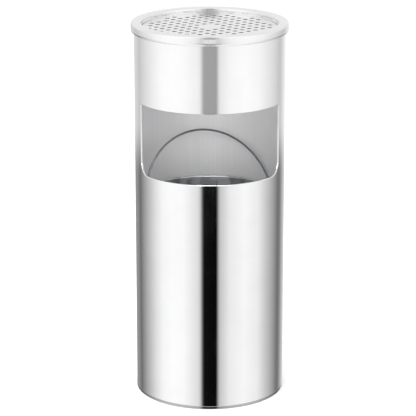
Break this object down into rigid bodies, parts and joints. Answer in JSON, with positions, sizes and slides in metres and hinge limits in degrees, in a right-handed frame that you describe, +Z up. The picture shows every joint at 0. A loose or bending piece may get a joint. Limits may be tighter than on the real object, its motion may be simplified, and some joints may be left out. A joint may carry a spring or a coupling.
{
  "type": "ashtray bin",
  "caption": "Tall round steel litter bin with a wide front opening, a lift-off ashtray head with a perforated plate, and an inner bucket with a wire bail.",
  "frame": {"origin": "on the floor, under the middle of the bin", "axes": "+Z up along the bin's axis, the litter opening faces -Y, +X to its right as seen from the front"},
  "size_m": [0.25, 0.25, 0.61],
  "materials": {
    "shell_steel": "polished stainless sheet with fine vertical polishing lines",
    "rim_steel": "satin stainless, polished round the roll",
    "inner_steel": "unpolished mill finish stainless",
    "dish_steel": "pressed stainless, dulled by ash",
    "plate_steel": "satin stainless with punched holes",
    "galvanised": "galvanised sheet, faint spangle",
    "wire_steel": "bright drawn wire, darkened",
    "rivet_steel": "plain steel",
    "rubber": "matt black rubber"
  },
  "bodies": {
    "shell": {"outer_shell": "shell_steel", "shell_seam_strip": "inner_steel", "top_band": "inner_steel", "edge_strip": "rubber", "base_plate": "galvanised", "base_ring": "rim_steel", "bucket_guide_1": "galvanised", "bucket_guide_2": "galvanised", "bucket_guide_3": "galvanised"},
    "ashtray_head": {"head_rim": "rim_steel", "locating_ring": "inner_steel", "ash_dish": "dish_steel"},
    "grid": {"perforated_plate": "plate_steel"},
    "bucket": {"bucket_wall": "galvanised", "bucket_bottom": "galvanised", "bucket_rim_wire": "wire_steel", "bucket_seam_strap": "galvanised", "bucket_seam_rivets": "rivet_steel", "bail_ear_right": "galvanised", "bail_ear_left": "galvanised", "bail_ear_rivets": "rivet_steel"},
    "bail": {"bail": "wire_steel"}
  },
  "joints": [
    {"name": "head_lift", "type": "slide", "parent": "shell", "child": "ashtray_head", "axis": [0, 0, 1], "range_m": [0, 0.75]},
    {"name": "grid_lift", "type": "slide", "parent": "ashtray_head", "child": "grid", "axis": [0, 0, 1], "range_m": [0, 0.08]},
    {"name": "bucket_lift", "type": "slide", "parent": "shell", "child": "bucket", "axis": [0, 0, 1], "range_m": [0, 0.6]},
    {"name": "bail_swing", "type": "hinge", "parent": "bucket", "child": "bail", "pos_m": [0, 0, 0.317], "axis": [0.866, 0.5, 0], "range_deg": [-65, 115]}
  ],
  "couplings": [
    {"joint": "bucket_lift", "follows": "head_lift", "ratio": 0.8}
  ]
}
